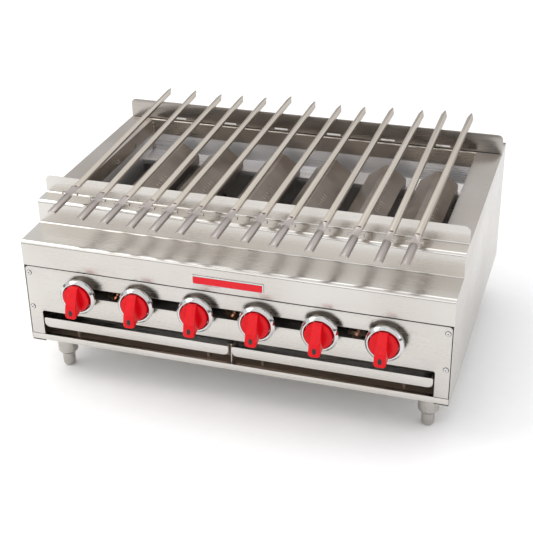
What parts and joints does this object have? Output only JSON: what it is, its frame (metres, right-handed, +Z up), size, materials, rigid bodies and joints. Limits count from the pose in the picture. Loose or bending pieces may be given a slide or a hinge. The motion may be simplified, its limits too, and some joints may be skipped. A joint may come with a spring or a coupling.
{
  "type": "charbroiler grill",
  "caption": "Countertop gas charbroiler in stainless steel with knob controls, bullnose ledges, radiants, splash guards, slide-out drip trays, screw feet and loose skewers across the top.",
  "frame": {"origin": "on the surface the feet stand on, below the middle of the whole object's box", "axes": "+X to the right of a person at the controls, +Y from the controls to the back, +Z up"},
  "size_m": [0.9144, 0.7638, 0.4409],
  "materials": {
    "body_steel": "fine horizontal brushed grain, warm grey, soft reflections",
    "liner_steel": "heat-browned steel, smoky reflections",
    "cast_iron": "brown-grey, dry, slightly rough",
    "skewer_steel": "straw-tinted folded strip, satin",
    "chrome": "bright plated",
    "brass": "dull machined brass",
    "pipe": "black pipe, satin",
    "knob_red": "gloss red"
  },
  "bodies": {
    "chassis": {"side_panel_left": "body_steel", "side_panel_right": "body_steel", "control_panel": "body_steel", "ledge_cover": "body_steel", "badge": "chrome", "deck_frame": "body_steel", "back_panel": "body_steel", "bottom_pan": "body_steel", "firebox_liner": "liner_steel", "burner_1": "cast_iron", "burner_2": "cast_iron", "burner_3": "cast_iron", "burner_4": "cast_iron", "burner_5": "cast_iron", "burner_6": "cast_iron", "gas_manifold": "pipe", "pilot_valve_1": "brass", "pilot_valve_2": "brass", "pilot_valve_3": "brass", "bezel_1": "chrome", "bezel_2": "chrome", "bezel_3": "chrome", "bezel_4": "chrome", "bezel_5": "chrome", "bezel_6": "chrome", "leg_front_left": "chrome", "leg_front_right": "chrome", "leg_back_left": "chrome", "leg_back_right": "chrome"},
    "knob_1": {"knob_1": "knob_red"},
    "knob_2": {"knob_2": "knob_red"},
    "knob_3": {"knob_3": "knob_red"},
    "knob_4": {"knob_4": "knob_red"},
    "knob_5": {"knob_5": "knob_red"},
    "knob_6": {"knob_6": "knob_red"},
    "drip_tray_left": {"drip_tray_left": "body_steel"},
    "drip_tray_right": {"drip_tray_right": "body_steel"},
    "radiant_1": {"radiant_1": "cast_iron"},
    "radiant_2": {"radiant_2": "cast_iron"},
    "radiant_3": {"radiant_3": "cast_iron"},
    "radiant_4": {"radiant_4": "cast_iron"},
    "radiant_5": {"radiant_5": "cast_iron"},
    "radiant_6": {"radiant_6": "cast_iron"},
    "foot_front_left": {"foot_front_left": "chrome"},
    "foot_front_right": {"foot_front_right": "chrome"},
    "foot_back_left": {"foot_back_left": "chrome"},
    "foot_back_right": {"foot_back_right": "chrome"},
    "skewer_01": {"skewer_01": "skewer_steel"},
    "skewer_02": {"skewer_02": "skewer_steel"},
    "skewer_03": {"skewer_03": "skewer_steel"},
    "skewer_04": {"skewer_04": "skewer_steel"},
    "skewer_05": {"skewer_05": "skewer_steel"},
    "skewer_06": {"skewer_06": "skewer_steel"},
    "skewer_07": {"skewer_07": "skewer_steel"},
    "skewer_08": {"skewer_08": "skewer_steel"},
    "skewer_09": {"skewer_09": "skewer_steel"},
    "skewer_10": {"skewer_10": "skewer_steel"},
    "skewer_11": {"skewer_11": "skewer_steel"},
    "skewer_12": {"skewer_12": "skewer_steel"},
    "skewer_13": {"skewer_13": "skewer_steel"}
  },
  "joints": [
    {"name": "knob_1_turn", "type": "hinge", "parent": "chassis", "child": "knob_1", "pos_m": [-0.3265, -0.32199, 0.22855], "axis": [0, -1, 0], "range_deg": [0, 90]},
    {"name": "knob_2_turn", "type": "hinge", "parent": "chassis", "child": "knob_2", "pos_m": [-0.1959, -0.32199, 0.22855], "axis": [0, -1, 0], "range_deg": [0, 90]},
    {"name": "knob_3_turn", "type": "hinge", "parent": "chassis", "child": "knob_3", "pos_m": [-0.0653, -0.32199, 0.22855], "axis": [0, -1, 0], "range_deg": [0, 90]},
    {"name": "knob_4_turn", "type": "hinge", "parent": "chassis", "child": "knob_4", "pos_m": [0.0653, -0.32199, 0.22855], "axis": [0, -1, 0], "range_deg": [0, 90]},
    {"name": "knob_5_turn", "type": "hinge", "parent": "chassis", "child": "knob_5", "pos_m": [0.1959, -0.32199, 0.22855], "axis": [0, -1, 0], "range_deg": [0, 90]},
    {"name": "knob_6_turn", "type": "hinge", "parent": "chassis", "child": "knob_6", "pos_m": [0.3265, -0.32199, 0.22855], "axis": [0, -1, 0], "range_deg": [0, 90]},
    {"name": "drip_tray_left_slide", "type": "slide", "parent": "chassis", "child": "drip_tray_left", "axis": [0, -1, 0], "range_m": [0, 0.5]},
    {"name": "drip_tray_right_slide", "type": "slide", "parent": "chassis", "child": "drip_tray_right", "axis": [0, -1, 0], "range_m": [0, 0.5]},
    {"name": "radiant_1_lift", "type": "slide", "parent": "chassis", "child": "radiant_1", "axis": [0, 0, 1], "range_m": [0, 0.06]},
    {"name": "radiant_2_lift", "type": "slide", "parent": "chassis", "child": "radiant_2", "axis": [0, 0, 1], "range_m": [0, 0.06]},
    {"name": "radiant_3_lift", "type": "slide", "parent": "chassis", "child": "radiant_3", "axis": [0, 0, 1], "range_m": [0, 0.06]},
    {"name": "radiant_4_lift", "type": "slide", "parent": "chassis", "child": "radiant_4", "axis": [0, 0, 1], "range_m": [0, 0.06]},
    {"name": "radiant_5_lift", "type": "slide", "parent": "chassis", "child": "radiant_5", "axis": [0, 0, 1], "range_m": [0, 0.06]},
    {"name": "radiant_6_lift", "type": "slide", "parent": "chassis", "child": "radiant_6", "axis": [0, 0, 1], "range_m": [0, 0.06]},
    {"name": "foot_front_left_screw", "type": "slide", "parent": "chassis", "child": "foot_front_left", "axis": [0, 0, -1], "range_m": [0, 0.025]},
    {"name": "foot_front_right_screw", "type": "slide", "parent": "chassis", "child": "foot_front_right", "axis": [0, 0, -1], "range_m": [0, 0.025]},
    {"name": "foot_back_left_screw", "type": "slide", "parent": "chassis", "child": "foot_back_left", "axis": [0, 0, -1], "range_m": [0, 0.025]},
    {"name": "foot_back_right_screw", "type": "slide", "parent": "chassis", "child": "foot_back_right", "axis": [0, 0, -1], "range_m": [0, 0.025]},
    {"name": "skewer_01_lift", "type": "slide", "parent": "chassis", "child": "skewer_01", "axis": [0, 0, 1], "range_m": [0, 0.15]},
    {"name": "skewer_02_lift", "type": "slide", "parent": "chassis", "child": "skewer_02", "axis": [0, 0, 1], "range_m": [0, 0.15]},
    {"name": "skewer_03_lift", "type": "slide", "parent": "chassis", "child": "skewer_03", "axis": [0, 0, 1], "range_m": [0, 0.15]},
    {"name": "skewer_04_lift", "type": "slide", "parent": "chassis", "child": "skewer_04", "axis": [0, 0, 1], "range_m": [0, 0.15]},
    {"name": "skewer_05_lift", "type": "slide", "parent": "chassis", "child": "skewer_05", "axis": [0, 0, 1], "range_m": [0, 0.15]},
    {"name": "skewer_06_lift", "type": "slide", "parent": "chassis", "child": "skewer_06", "axis": [0, 0, 1], "range_m": [0, 0.15]},
    {"name": "skewer_07_lift", "type": "slide", "parent": "chassis", "child": "skewer_07", "axis": [0, 0, 1], "range_m": [0, 0.15]},
    {"name": "skewer_08_lift", "type": "slide", "parent": "chassis", "child": "skewer_08", "axis": [0, 0, 1], "range_m": [0, 0.15]},
    {"name": "skewer_09_lift", "type": "slide", "parent": "chassis", "child": "skewer_09", "axis": [0, 0, 1], "range_m": [0, 0.15]},
    {"name": "skewer_10_lift", "type": "slide", "parent": "chassis", "child": "skewer_10", "axis": [0, 0, 1], "range_m": [0, 0.15]},
    {"name": "skewer_11_lift", "type": "slide", "parent": "chassis", "child": "skewer_11", "axis": [0, 0, 1], "range_m": [0, 0.15]},
    {"name": "skewer_12_lift", "type": "slide", "parent": "chassis", "child": "skewer_12", "axis": [0, 0, 1], "range_m": [0, 0.15]},
    {"name": "skewer_13_lift", "type": "slide", "parent": "chassis", "child": "skewer_13", "axis": [0, 0, 1], "range_m": [0, 0.15]}
  ]
}
